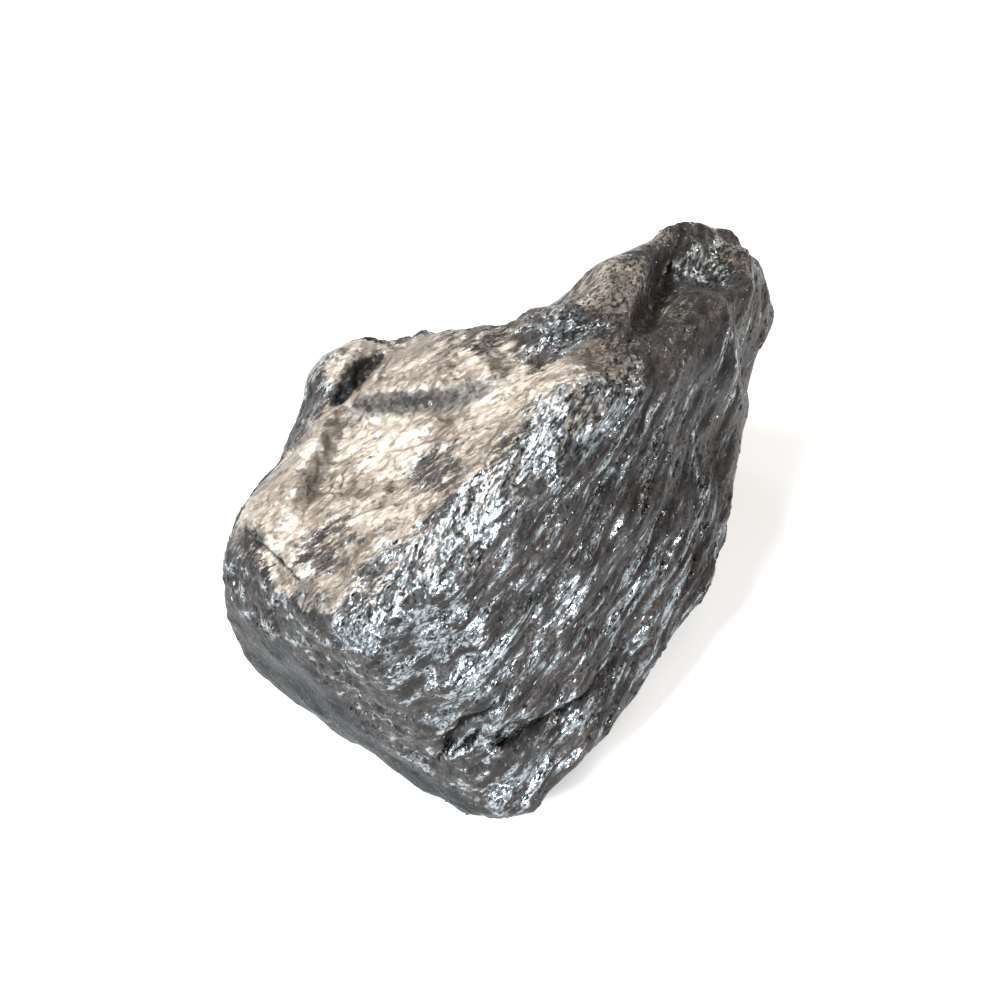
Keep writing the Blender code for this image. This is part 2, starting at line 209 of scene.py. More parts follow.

# Where the tan film, partly a painted warm reflection, lies outside the cleavage face, and where it is
# missing on it:
# middle, radius, amount.
TAN_SPOTS = {
    "nose_rim": ((14.5, 0.6, 31.2), 6.5, 0.54),
    "nose_lip": ((26.0, 1.6, 28.0), 2.0, 0.55),
    "crest_streak": ((3.0, -5.2, 34.5), 4.5, 0.52),
    "dish_ridge": ((16.8, -6.0, 29.6), 2.4, 0.35),
    "rim_end": ((30.5, -5.5, 24.5), 3.0, 0.42),
}
BARE_SPOTS = {
    "below_crack": ((-26.3, 7.3, 23.2), 4.0, 0.60),
    "mid_face": ((-14.6, 2.0, 28.6), 3.6, 0.65),
    "dark_facet": ((3.9, 1.2, 32.7), 4.6, 1.0),
    "top_edge": ((1.2, 7.4, 30.2), 3.2, 0.7),
    "left_edge": ((-31.5, 14.5, 16.5), 4.0, 0.7),
    "low_face": ((-26.0, 4.5, 24.3), 5.5, 0.26),
    "low_corner": ((-31.2, 4.8, 21.4), 3.0, 0.38),
    "top_strip": ((-1.5, 11.0, 28.3), 2.2, 0.45),
    "far_corner": ((-7.5, 21.5, 22.6), 3.2, 0.30),
    "rim_far": ((-9.4, 23.0, 21.4), 3.2, 0.55),
    "rim_middle": ((-12.6, 21.8, 21.6), 3.4, 0.9),
    "rim_near": ((-16.6, 21.2, 19.8), 3.2, 0.9),
}
# Paler patches of the tan film, partly painted highlight: middle, radius, amount.
PALE_SPOTS = {
    "middle": ((-13.5, 9.5, 25.8), 5.0, 1.0),
    "upper": ((0.2, 8.0, 29.9), 3.6, 1.0),
    "left": ((-25.5, 15.5, 21.5), 3.5, 0.6),
    "right": ((-6.5, 1.5, 32.0), 3.0, 0.6),
}

# The dark risers round the spall and along the broken sheets' edges on the cleavage face, partly their own
# darker tone and partly painted shade of steps turned from the light: the points along each, how far it
# reaches to the left and to the right of them, over what distance each side fades, and how dark it is.
RISER_SHADES = {
    "upper": {
        "points": (
            (-12.4, 17.2, 23.8), (-11.3, 15.2, 24.6), (-9.9, 12.3, 26.0), (-7.6, 6.2, 29.2),
            (-5.1, 3.0, 31.5), (-2.0, 0.8, 32.8),
        ),
        "left": 0.95, "left_fade": 0.30, "right": 1.0, "right_fade": 1.6, "dark": 1.0,
    },
    "inner_edge": {
        "points": INNER_SHEET_EDGE,
        "left": 0.25, "left_fade": 0.3, "right": 0.25, "right_fade": 0.6, "dark": 0.6,
    },
    "lower_edge": {
        "points": LOWER_SHEET_EDGE,
        "left": 0.30, "left_fade": 0.3, "right": 0.25, "right_fade": 0.3, "dark": 0.6,
    },
    "left": {
        "points": (
            (-24.8, 13.4, 22.0), (-22.9, 13.3, 22.2), (-18.9, 14.5, 22.8), (-14.1, 16.3, 23.6),
            (-11.3, 16.2, 24.0),
        ),
        "left": 0.80, "left_fade": 0.25, "right": 0.85, "right_fade": 0.9, "dark": 0.55,
    },
}
# Where bare graphite glitters on top of the crest and the front, with a painted highlight in its colour:
# middle, radius, amount.
GLITTER_SPOTS = {
    "below_crack": ((-26.3, 7.3, 23.2), 4.2, 0.5),
    "mid_face": ((-14.6, 2.0, 28.6), 3.0, 0.5),
    "dark_facet": ((3.9, 1.2, 32.7), 4.6, 1.0),
    "nose_dish": ((25.3, -3.9, 25.5), 3.8, 1.0),
    "crest_top": ((-3.5, -8.0, 35.5), 5.0, 1.0),
    "left_edge": ((-31.5, 14.5, 16.5), 4.0, 0.7),
}
FLANK_GLITTER = 0.32  # how much the other broken sides glitter
CALM_END = (-8.0, 12.0)  # X: they get calm towards the nose
CALM_FOOT = (11.0, 3.0)  # height: and towards the floor
CALM_FOOT_SHARE = 0.4  # how much of their glitter is missing there

# The cleavage plates: how many stand on a square millimetre, their size, how far they lean and are sunk.
PLATES = {
    "density": 0.55, "length": 0.75, "width": 0.34, "thickness": 0.12, "lean": 0.20, "sink": 0.03, "seed": 5,
}
# Colours of the finishes.
SHADES = {
    "graphite": (0.050, 0.046, 0.045),
    # Painted shade between the lenses.
    "groove_shade": (0.031, 0.028, 0.027),
    "brown": (0.056, 0.045, 0.040),
    "steel": (0.078, 0.076, 0.077),
    # The glinting lenses: their bright colour is a painted highlight.
    "bright": (0.33, 0.36, 0.38),
    "rubbed": (0.019, 0.020, 0.022),
    "rubbed_brown": (0.024, 0.020, 0.018),
    "scratch": (0.012, 0.012, 0.012),
    # The risers: partly their own darker tone, partly painted shade.
    "riser_shade": (0.056, 0.050, 0.046),
    "riser_shade_pale": (0.125, 0.110, 0.098),
    # The tan film: partly its own colour, partly a painted warm reflection, with painted highlights in its
    # cream.
    "tan": (0.155, 0.130, 0.108),
    "cream": (0.45, 0.40, 0.35),
    # Painted shade in the cracks.
    "crack_shade_colour": (0.010, 0.010, 0.010),
}

# The camera, as it looks at the lump: azimuth and elevation in degrees, lens and sensor in millimetres.
CAMERA = {"azimuth": -52.0, "elevation": 58.0, "lens": 70.0, "sensor": 36.0}
CAMERA_TARGET = (-6.72, -0.44, 15.2)
CAMERA_DISTANCE = 214.2
# Soft boxes: azimuth and elevation in degrees, distance and size in metres, watts, colour.
SOFT_BOXES = {
    "face_light": (180.0, 32.0, 0.55, 0.20, 2.1, (1.0, 0.935, 0.87)),
    "crest_light": (-115.0, 54.0, 0.50, 0.12, 2.7, (0.83, 0.95, 1.0)),
    "left_light": (-98.0, 28.0, 0.50, 0.09, 2.3, (0.88, 0.95, 1.0)),
    "flank_light": (-24.0, 26.0, 0.50, 0.10, 2.6, (0.90, 0.96, 1.0)),
    "rim_light": (150.0, 18.0, 0.55, 0.09, 0.7, (0.95, 0.98, 1.0)),
    "dish_light": (84.0, 32.0, 0.50, 0.08, 0.6, (1.0, 0.96, 0.92)),
    "warm_fill": (40.0, 72.0, 0.90, 0.50, 2.2, (1.0, 0.80, 0.62)),
}
ROOM = 0.16  # brightness of the dim room, which the lump mirrors
PAPER_WIDTH = 0.62


def unit(vector):
    vector = np.asarray(vector, float)
    return vector / np.linalg.norm(vector)


def ease(value):
    """From 0 to 1 along a smooth step."""
    value = np.clip(value, 0.0, 1.0)
    return value * value * (3.0 - 2.0 * value)


def ramp(value, bounds):
    """From 0 at the first bound to 1 at the second, along a smooth step."""
    start, end = bounds
    return ease((value - start) / (end - start))


def axes_of(along, normal):
    """Three unit axes as rows: along, across, and the normal."""
    normal = unit(normal)
    along = unit(np.asarray(along) - normal * np.dot(along, normal))
    return np.array((along, np.cross(normal, along), normal))


GRAIN_AXES = axes_of(GRAIN, LAYER_NORMAL)
STREAK_AXES = axes_of(STREAKS, FACE_NORMAL)
BUTT_AXES = axes_of(BUTT_SCRATCHES, BUTT_NORMAL)

# Mottled textures of the finish: the axes that they follow, their sizes along those, detail and roughness.
TEXTURES = {
    "streaks": (STREAK_AXES, (2.6, 0.7, 1.6), 7.0, 0.80),
    "broad": (STREAK_AXES, (8.0, 3.5, 5.0), 2.0, 0.55),
    "wrinkles": (STREAK_AXES, (1.0, 0.34, 0.6), 5.0, 0.66),
    "fine": (GRAIN_AXES, (1.5, 0.5, 0.4), 5.0, 0.68),
    "lenses": (GRAIN_AXES, (5.5, 1.7, 0.95), 2.0, 0.52),
    "clusters": (GRAIN_AXES, (11.0, 8.0, 3.2), 2.0, 0.55),
    "patches": (GRAIN_AXES, (7.0, 4.0, 3.0), 3.0, 0.55),
    "scales": (GRAIN_AXES, (2.6, 1.2, 0.6), 4.0, 0.55),
    "plates": (GRAIN_AXES, (1.2, 0.8, 0.6), 3.0, 0.55),
    "scratches": (BUTT_AXES, (4.0, 0.5, 0.9), 5.0, 0.65),
}
# Jumbled cells of the finish, each of which leans or is toned by itself: their axes and sizes along those.
CELLS = {
    "glints": (GRAIN_AXES, (0.36, 0.22, 0.20)),
    "broad_glints": (GRAIN_AXES, (2.0, 0.8, 0.5)),
    "sheets": (STREAK_AXES, (2.4, 1.0, 1.2)),
    "flakes": (STREAK_AXES, (0.60, 0.24, 0.30)),
}
CELL_STRAY = 0.9  # how far the outlines of sheets and flakes stray, as a share of their size


def scattered(cells, seed):
    """A repeatable number from 0 to 1 for each whole-numbered cell."""
    mixed = cells @ np.array((73856093, 19349663, 83492791), np.int64) + seed * 668265263
    mixed = ((mixed ^ (mixed >> 15)) * 2246822519) & 0xFFFFFFFF
    mixed = ((mixed ^ (mixed >> 13)) * 3266489917) & 0xFFFFFFFF
    return ((mixed ^ (mixed >> 16)) & 0xFFFFFF) / 0xFFFFFF


def noise(points, seed):
    """Smooth noise from about -1 to 1, with bumps one unit apart."""
    cells = np.floor(points).astype(np.int64)
    inside = points - cells
    blend = inside**3 * (inside * (inside * 6.0 - 15.0) + 10.0)
    total = np.zeros(len(points))
    for corner in np.ndindex(2, 2, 2):
        weight = np.prod(np.where(corner, blend, 1.0 - blend), axis=1)
        slope = np.stack([scattered(cells + corner, seed + axis) for axis in range(3)], axis=1) - 0.5
        total += weight * np.sum(slope * (inside - corner), axis=1)
    return total * 3.0


def layered_noise(points, axes, kind):
    return kind["depth"] * noise(points @ axes.T / kind["sizes"], kind["seed"])


def shards(points, seed):
    """For each point: how far inside its shard it is, its place in it, and the shard's own three numbers."""
    cells = np.floor(points).astype(np.int64)
    nearest = np.full(len(points), 9.0)
    second = nearest.copy()
    place = np.zeros_like(points)
    own = np.zeros_like(points)
    for step in np.ndindex(3, 3, 3):
        cell = cells + step - 1
        numbers = np.stack([scattered(cell, seed + axis) for axis in range(3)], axis=1)
        offset = points - cell - numbers
        distance = np.linalg.norm(offset, axis=1)
        closer = distance < nearest
        second = np.where(closer, nearest, np.minimum(second, distance))
        nearest = np.where(closer, distance, nearest)
        place[closer] = offset[closer]
        own[closer] = numbers[closer]
    return second - nearest, place, own


def shard_relief(points, axes, kind):
    """Height of overlapping shards, each of which stands out and leans by its own amount."""
    local = points @ axes.T / kind["sizes"]
    wander = np.stack([noise(local * 1.7, kind["seed"] + 7 + axis) for axis in range(3)], axis=1)
    inside, place, own = shards(local + WANDER * wander, kind["seed"])
    lean = np.sum(place * (own[:, ::-1] - 0.5) * 2.0, axis=1)
    split = 1.0 - ease(inside / SPLIT_REACH)
    height = kind["rise"] * (own[:, 0] - 0.5) * 2.0 + kind["lean"] * lean - kind["split"] * split
    return height, split


def beside_path(points, path, facing=FACE_NORMAL):
    """For each point: its distance from a path on ground that faces this way, the side that it is on (1 is
    the left, seen from outside), and how far along the path it is, from 0 to 1."""
    path, facing = np.asarray(path, float), unit(facing)
    lengths = np.linalg.norm(np.diff(path, axis=0), axis=1)
    best = np.full(len(points), np.inf)
    side, run = np.zeros((2, len(points)))
    done = 0.0
    for start, end, length in zip(path, path[1:], lengths):
        way = (end - start) / length
        along = np.clip((points - start) @ way, 0.0, length)
        off = points - start - along[:, None] * way
        off -= (1.0 - FLAT_DISTANCE) * (off @ facing)[:, None] * facing
        distance = np.linalg.norm(off, axis=1)
        closer = distance < best
        best[closer] = distance[closer]
        side[closer] = np.sign(off[closer] @ np.cross(facing, way))
        run[closer] = (done + along[closer]) / lengths.sum()
        done += length
    return best, side, run


def fine_copy():
    """A plain mesh of the lump with small even faces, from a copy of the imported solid."""
    source = bmesh.new()
    source.from_mesh(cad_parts[LUMP].data)
    bmesh.ops.remove_doubles(source, verts=source.verts, dist=1e-6)
    mesh = bpy.data.meshes.new("graphite_skin")
    source.to_mesh(mesh)
    source.free()
    skin = bpy.data.objects.new("graphite_skin", mesh)
    bpy.context.scene.collection.objects.link(skin)
    remesh = skin.modifiers.new("Fine skin", "REMESH")
    remesh.mode = "VOXEL"
    remesh.voxel_size = SKIN_VOXEL * MM
    fine = bpy.data.meshes.new_from_object(skin.evaluated_get(bpy.context.evaluated_depsgraph_get()))
    skin.modifiers.clear()
    skin.data = fine
    fine.materials.clear()
    bpy.data.meshes.remove(mesh)
    return skin


def read_array(items, name, width, kind=np.float64):
    values = np.empty(len(items) * width, kind)
    items.foreach_get(name, values)
    return values.reshape(-1, width)


def spread(values, edges, rounds):
    """Each point's value averaged with its neighbours', round after round."""
    count = len(values)
    neighbours = np.bincount(edges.ravel(), minlength=count)[:, None]
    for _ in range(rounds):
        total = np.empty_like(values)
        for axis in range(values.shape[1]):
            column = values[:, axis]
            total[:, axis] = np.bincount(edges[:, 0], column[edges[:, 1]], count)
            total[:, axis] += np.bincount(edges[:, 1], column[edges[:, 0]], count)
        values = 0.5 * values + 0.5 * total / neighbours
    return values


def spots_at(points, spots, kind):
    """Soft-edged patches with a ragged outline."""
    total = np.zeros(len(points))
    ragged = 0.35 * noise(points / 2.0, SEEDS[kind])
    for middle, radius, amount in spots.values():
        reach = np.linalg.norm(points - middle, axis=1) / radius
        total = np.maximum(total, amount * ease((1.25 - reach + ragged) * 1.6))
    return total


class Skin:
    """The fine skin's points and normals, and how far each point belongs to each of the lump's sides."""

    def __init__(self, mesh):
        self.mesh = mesh
        self.edges = read_array(mesh.edges, "vertices", 2, np.int32)
        points = spread(read_array(mesh.vertices, "co", 3) / MM, self.edges, FACET_SMOOTHING)
        self.move_to(points)
        form = spread(self.normals, self.edges, FORM_SMOOTHING)
        self.form = form / np.linalg.norm(form, axis=1)[:, None]
        above_face = points @ unit(FACE_NORMAL) - FACE_HEIGHT
        self.face = ramp(above_face, FACE_RISE) * ramp(self.turn(FACE_NORMAL), FACE_TURN)
        self.face *= ramp(points[:, 0], FACE_END)
        ragged = 1.5 * noise(points @ STREAK_AXES.T / RAGGED_SIZES, SEEDS["edges"])
        ragged += 0.7 * noise(points / FINE_RAGGED_SIZE, SEEDS["fine_edges"])
        start, slope = CREST_EDGE
        behind_crest = points[:, 1] - start - slope * points[:, 0] + 1.3 * ragged
        # The tan film on the cleavage face: partly its own colour, partly a painted reflection of warm
        # light.
        self.filmed_and_reflecting = self.face * ease(behind_crest / FILM_AND_REFLECTION_FADE + 0.25)
        self.face *= ease(behind_crest / 1.4 + 0.5)
        self.crest = ease(0.8 - behind_crest / 1.6) * ease((behind_crest + CREST_WIDTH) / 3.0)
        self.crest *= ramp(points[:, 0], CREST_END) * ramp(above_face, CREST_RISE)
        self.front = ramp(self.turn(FRONT_NORMAL), FRONT_TURN)
        butt_turn = self.turn(BUTT_NORMAL)
        butt_top = np.interp(points[:, 1], *np.transpose(SMOOTH_BUTT_TOP)) + 0.6 * ragged
        self.butt = ramp(butt_turn, BUTT_TURN) * ease((butt_top - points[:, 2]) / 1.5)
        self.bevel = ramp(butt_turn + 0.04 * ragged, BEVEL_TURN) * (1.0 - self.butt)
        self.worn = 1.0 - WORN_SHARE * ramp(points[:, 0], WORN_END)
        self.rugged = (1.0 - self.face) * (1.0 - self.butt) * self.worn * (1.0 - 0.45 * self.front)
        self.rugged *= FOOT_SHARE + (1.0 - FOOT_SHARE) * ramp(points[:, 2], WORN_FOOT)
        self.free = ramp(points[:, 2], BASE_BAND)

    def turn(self, normal):
        """How closely the lump's form faces this way: the cosine of the angle between them."""
        return self.form @ unit(normal)

    def move_to(self, points):
        self.points = points
        self.mesh.vertices.foreach_set("co", (points * MM).ravel())
        self.mesh.update()
        self.normals = read_array(self.mesh.vertices, "normal", 3)

    def raise_by(self, height):
        self.move_to(self.points + (height * self.free)[:, None] * self.normals)

    def keep(self, name, values):
        """Stores a value for each point, which the materials and the plates read by name."""
        attribute = self.mesh.attributes.new(name, "FLOAT", "POINT")
        attribute.data.foreach_set("value", np.clip(values, 0.0, 1.0).astype(np.float32))


def lay_scales(skin):
    """Lens-shaped scales on the flank, crest and back, few on the butt end. Gives the painted shade in the
    splits round them.
    """
    amount = skin.rugged + 0.25 * skin.butt + 0.12 * skin.face
    crack_shade = np.zeros(len(amount))
    for kind in SCALES.values():
        height, split = shard_relief(skin.points, GRAIN_AXES, kind)
        skin.raise_by(height * amount)
        crack_shade = np.maximum(crack_shade, split * kind["split"] / SCALES["large"]["split"])
    return crack_shade * amount


def lay_sheets(skin):
    """Thin sheets and fine streaks on the cleavage face."""
    for kind in SHEETS.values():
        height, _ = shard_relief(skin.points, STREAK_AXES, kind)
        skin.raise_by(height * skin.face)
    skin.raise_by(layered_noise(skin.points, STREAK_AXES, STREAK_GRAIN) * skin.face)


def waver(points, amount):
    """The points moved about a little, so that what follows a path strays from it."""
    waves = [noise(points / STRAY_LENGTH, SEEDS["stray"] + axis) for axis in range(3)]
    return points + amount * np.stack(waves, axis=1)


def break_ledges(skin):
    """Edges of the thin sheets that have come off the cleavage face."""
    for ledge in LEDGES.values():
        distance, side, run = beside_path(waver(skin.points, 0.5), ledge["points"])
        step = ease(side * distance / ledge["slope"] + 0.5)
        fade = np.sin(np.pi * np.clip(run, 0.02, 0.98)) ** 0.4
        skin.raise_by(ledge["rise"] * step * fade * (1.0 - ease(distance / ledge["reach"])))


def swell(skin):
    """Low swellings and hollows that even out the form."""
    for middle, radius, height in SWELLS.values():
        reach = np.linalg.norm(skin.points - middle, axis=1) / radius
        skin.raise_by(height * ease(1.0 - reach))


def riser_shade_bands(skin):
    """How far each point belongs to the dark risers, partly painted shade."""
    dark = np.zeros(len(skin.points))
    for riser_shade in RISER_SHADES.values():
        distance, side, run = beside_path(waver(skin.points, 0.3), riser_shade["points"])
        taper = ease(6.0 * run + 0.1) * ease(3.0 * (1.0 - run) + 0.1)
        left = ease((riser_shade["left"] - side * distance) / riser_shade["left_fade"] + 0.5)
        right = ease((riser_shade["right"] + side * distance) / riser_shade["right_fade"] + 0.5)
        dark = np.maximum(dark, riser_shade["dark"] * left * right * taper)
    return dark * skin.face


def open_splits(skin):
    """Narrow cracks, which waver and thin out towards their ends, with painted shade in them."""
    crack_shade = np.zeros(len(skin.points))
    for split in SPLITS.values():
        distance, _, run = beside_path(waver(skin.points, 0.35), split["points"], split["facing"])
        thinning = np.sin(np.pi * np.clip(run, 0.03, 0.97)) ** 0.5
        inside = 1.0 - ease(distance / (split["width"] * (0.5 + thinning)))
        skin.raise_by(-split["depth"] * inside * thinning)
        crack_shade = np.maximum(crack_shade, split["dark"] * inside)
    return crack_shade


def grit_cleft(skin):
    """The cleft near the top corner, floored with coarse grains; how far each point is in it sets the
    painted shade that darkens it.
    """
    distance, _, _ = beside_path(waver(skin.points, 0.5), CLEFT["points"])
    inside = 1.0 - ease((distance - CLEFT["width"] * 0.6) / CLEFT["width"])
    _, _, own = shards(skin.points / CLEFT["grain"], SEEDS["grains"])
    skin.raise_by(inside * CLEFT["depth"] * (own[:, 0] - 0.9))
    return inside


def glitter_of(skin):
    """How much the graphite glitters, with a painted highlight in its colour: most on the crest, much on the
    front, less towards nose and floor.
    """
    points = skin.points
    flank = FLANK_GLITTER * (1.0 - ramp(points[:, 0], CALM_END))
    flank -= CALM_FOOT_SHARE * ramp(points[:, 2], CALM_FOOT)
    spots = spots_at(points, GLITTER_SPOTS, "glitter")
    glitter = np.max((skin.crest, 0.5 * skin.front, flank, spots), axis=0)
    return glitter * (1.0 - skin.butt) * (1.0 - 0.6 * skin.bevel) * (1.0 - 0.45 * skin.filmed_and_reflecting)


def lay_skin():
    """The lump's piece: a fine skin with its relief, and the masks that its finish follows."""
    lump = fine_copy()
    skin = Skin(lump.data)
    swell(skin)
    skin.raise_by(layered_noise(skin.points, GRAIN_AXES, WAVES) * skin.worn)
    crack_shade = lay_scales(skin)
    lay_sheets(skin)
    break_ledges(skin)
    grit = grit_cleft(skin)
    cracks = open_splits(skin)
    skin.raise_by(layered_noise(skin.points, GRAIN_AXES, GRIT) * (1.0 - 0.6 * skin.butt))
    points = skin.points
    points[:, 2] = np.maximum(points[:, 2], 0.0)
    skin.move_to(points)
    # The tan film with its painted warm reflection, and the spots where it lies or is missing.
    tan = np.maximum(skin.filmed_and_reflecting, spots_at(points, TAN_SPOTS, "tan"))
    tan *= (1.0 - spots_at(points, BARE_SPOTS, "bare")) * (1.0 - skin.bevel)
    skin.keep("tan_film_and_warm_reflection", tan * (1.0 - grit))
    skin.keep("glitter", glitter_of(skin))
    skin.keep("riser_shade", riser_shade_bands(skin))
    # Painted shade in the splits round the scales, in the cracks and in the cleft.
    skin.keep("crack_shade", np.max((0.55 * crack_shade * (1.0 - 0.7 * skin.crest), cracks, 0.6 * grit), axis=0))
    skin.keep("rubbed", skin.butt)
    skin.keep("sheeted", skin.face)
    skin.keep("pale", spots_at(points, PALE_SPOTS, "pale"))
    skin.keep("flaky", skin.free * (1.0 - tan) * skin.rugged * (1.0 - 0.8 * cracks))
    lump.data.shade_smooth()
    return lump


def add_node(tree, kind, inputs=None, **settings):
    """Adds a node. inputs gives, by socket, a value or the output that feeds it."""
    made = tree.nodes.new(kind)
    for name, value in settings.items():
        setattr(made, name, value)
    for key, value in (inputs or {}).items():
        if isinstance(value, bpy.types.NodeSocket):
            tree.links.new(value, made.inputs[key])
        else:
            made.inputs[key].default_value = value
    return made


def plate_tree(material):
    """Geometry nodes that stand small cleavage plates on a surface, leaning this way and that."""
    tree = bpy.data.node_groups.new("Cleavage plates", "GeometryNodeTree")
    tree.interface.new_socket("Geometry", in_out="INPUT", socket_type="NodeSocketGeometry")
    for name in ("Density", "Length", "Width", "Thickness", "Lean", "Sink"):
        tree.interface.new_socket(name, in_out="INPUT", socket_type="NodeSocketFloat")
    tree.interface.new_socket("Seed", in_out="INPUT", socket_type="NodeSocketInt")
    tree.interface.new_socket("Geometry", in_out="OUTPUT", socket_type="NodeSocketGeometry")
    given = add_node(tree, "NodeGroupInput").outputs
    flaky = add_node(tree, "GeometryNodeInputNamedAttribute", {"Name": "flaky"}, data_type="FLOAT")
    density = add_node(
        tree, "ShaderNodeMath", {0: flaky.outputs["Attribute"], 1: given["Density"]}, operation="MULTIPLY"
    )
    points = add_node(
        tree,
        "GeometryNodeDistributePointsOnFaces",
        {"Mesh": given["Geometry"], "Density": density.outputs[0], "Seed": given["Seed"]},
    )
    upright = add_node(
        tree, "FunctionNodeAlignRotationToVector", {"Vector": points.outputs["Normal"]}, axis="Z"
    )
    grain = add_node(
        tree,
        "FunctionNodeAlignRotationToVector",
        {"Rotation": upright.outputs[0], "Vector": Vector(GRAIN_AXES[0])},
        axis="X",
        pivot_axis="Z",
    )
    back = add_node(tree, "ShaderNodeMath", {0: given["Lean"], 1: -1.0}, operation="MULTIPLY")
    least = add_node(tree, "ShaderNodeCombineXYZ", dict.fromkeys(range(3), back.outputs[0]))
    most = add_node(tree, "ShaderNodeCombineXYZ", dict.fromkeys(range(3), given["Lean"]))
    leaning = add_node(
        tree,
        "FunctionNodeRandomValue",
        {0: least.outputs[0], 1: most.outputs[0], "Seed": given["Seed"]},
        data_type="FLOAT_VECTOR",
    )
    lean = add_node(tree, "FunctionNodeEulerToRotation", {0: leaning.outputs[0]})
    turned = add_node(
        tree,
        "FunctionNodeRotateRotation",
        {"Rotation": grain.outputs[0], "Rotate By": lean.outputs[0]},
        rotation_space="LOCAL",
    )
    size = add_node(
        tree,
        "FunctionNodeRandomValue",
        {0: (0.25, 0.5, 0.6), 1: (1.5, 1.4, 1.1), "Seed": given["Seed"]},
        data_type="FLOAT_VECTOR",
    )
    plate = add_node(
        tree,
        "GeometryNodeMeshCone",
        {"Vertices": 7, "Radius Top": 0.30, "Radius Bottom": 0.5, "Depth": 1.0},
    )
    scale = add_node(
        tree, "ShaderNodeCombineXYZ", {0: given["Length"], 1: given["Width"], 2: given["Thickness"]}
    )
    sunk = add_node(tree, "ShaderNodeCombineXYZ", {2: given["Sink"]})
    shaped = add_node(
        tree,
        "GeometryNodeTransform",
        {"Geometry": plate.outputs["Mesh"], "Scale": scale.outputs[0], "Translation": sunk.outputs[0]},
    )
    placed = add_node(
        tree,
        "GeometryNodeInstanceOnPoints",
        {
            "Points": points.outputs["Points"],
            "Instance": shaped.outputs[0],
            "Rotation": turned.outputs[0],
            "Scale": size.outputs[0],
        },
    )
    real = add_node(tree, "GeometryNodeRealizeInstances", {"Geometry": placed.outputs[0]})
    finished = add_node(tree, "GeometryNodeSetMaterial", {"Geometry": real.outputs[0], "Material": material})
    out = add_node(tree, "NodeGroupOutput")
    tree.links.new(finished.outputs[0], out.inputs[0])
    return tree


def stand_plates(lump, material):
    """Small cleavage plates all over the broken faces, as one plain mesh."""
    plates = bpy.data.objects.new("cleavage_plates", lump.data.copy())
    bpy.context.scene.collection.objects.link(plates)
    grower = plates.modifiers.new("Plates", "NODES")
    tree = plate_tree(material)
    sizes = {
        "Density": PLATES["density"] / MM**2,
        "Length": PLATES["length"] * MM,
        "Width": PLATES["width"] * MM,
        "Thickness": PLATES["thickness"] * MM,
        "Lean": PLATES["lean"],
        "Sink": -PLATES["sink"] * MM,
        "Seed": PLATES["seed"],
    }
    grower.node_group = tree
    for item in tree.interface.items_tree:
        if item.name in sizes:
            grower[item.identifier] = sizes[item.name]
    made = bpy.data.meshes.new_from_object(plates.evaluated_get(bpy.context.evaluated_depsgraph_get()))
    plates.modifiers.clear()
    plates.data = made
    return plates


def grained(tree, axes, sizes):
    """Coordinates along three axes of the object, each counted in its own size in millimetres."""
    place = add_node(tree, "ShaderNodeTexCoord").outputs["Object"]
    parts = {}
    for index, (axis, size) in enumerate(zip(axes, sizes)):
        dot = add_node(
            tree, "ShaderNodeVectorMath", {0: place, 1: Vector(axis) / (size * MM)}, operation="DOT_PRODUCT"
        )
        parts[index] = dot.outputs["Value"]
    return add_node(tree, "ShaderNodeCombineXYZ", parts).outputs[0]


def between(tree, factor, low, high):
    """A colour or a number between two others."""
    if isinstance(low, tuple) or getattr(low, "type", "") == "RGBA":
        mixed = add_node(tree, "ShaderNodeMix", {0: factor, 6: low, 7: high}, data_type="RGBA")
        return mixed.outputs[2]
    mixed = add_node(tree, "ShaderNodeMix", {0: factor, 2: low, 3: high}, data_type="FLOAT")
    return mixed.outputs[0]


def shade(name):
    return (*SHADES[name], 1.0)


def stepped(tree, value, low, high, start=0.0, end=1.0):
    """Eases a number from start to end as it goes from low to high."""
    ranged = add_node(
        tree,
        "ShaderNodeMapRange",
        {0: value, 1: low, 2: high, 3: start, 4: end},
        interpolation_type="SMOOTHSTEP",
    )
    return ranged.outputs[0]


def mask(tree, name):
    return add_node(tree, "ShaderNodeAttribute", attribute_name=name).outputs["Fac"]


def texture(tree, name):
    """One of the mottled textures, as a number around a half."""
    axes, sizes, detail, roughness = TEXTURES[name]
    made = add_node(
        tree,
        "ShaderNodeTexNoise",
        {"Vector": grained(tree, axes, sizes), "Scale": 1.0, "Detail": detail, "Roughness": roughness},
    )
    return made.outputs[0]


def leaning_facets(tree, coordinates, amount, share, rest=0.0):
    """Random leans for the cells of a jumbled lattice. A share of them leans by the amount, the others by
    the rest. Also tells which cells are in the share."""
    cells = add_node(tree, "ShaderNodeTexVoronoi", {"Vector": coordinates, "Scale": 1.0})
    centred = add_node(
        tree, "ShaderNodeVectorMath", {0: cells.outputs["Color"], 1: (0.5, 0.5, 0.5)}, operation="SUBTRACT"
    )
    own = add_node(tree, "ShaderNodeTexWhiteNoise", {"Vector": cells.outputs["Position"]})
    leaning = add_node(tree, "ShaderNodeMath", {0: own.outputs["Value"], 1: share}, operation="LESS_THAN")
    scaled = add_node(
        tree,
        "ShaderNodeVectorMath",
        {0: centred.outputs[0], "Scale": between(tree, leaning.outputs[0], rest, amount)},
        operation="SCALE",
    )
    return scaled.outputs[0], leaning.outputs[0]


def cell_tones(tree, coordinates):
    """A random number from 0 to 1 for each cell of a jumbled lattice: crisp-edged flakes."""
    cells = add_node(tree, "ShaderNodeTexVoronoi", {"Vector": coordinates, "Scale": 1.0})
    return add_node(tree, "ShaderNodeTexWhiteNoise", {"Vector": cells.outputs["Position"]}).outputs["Value"]


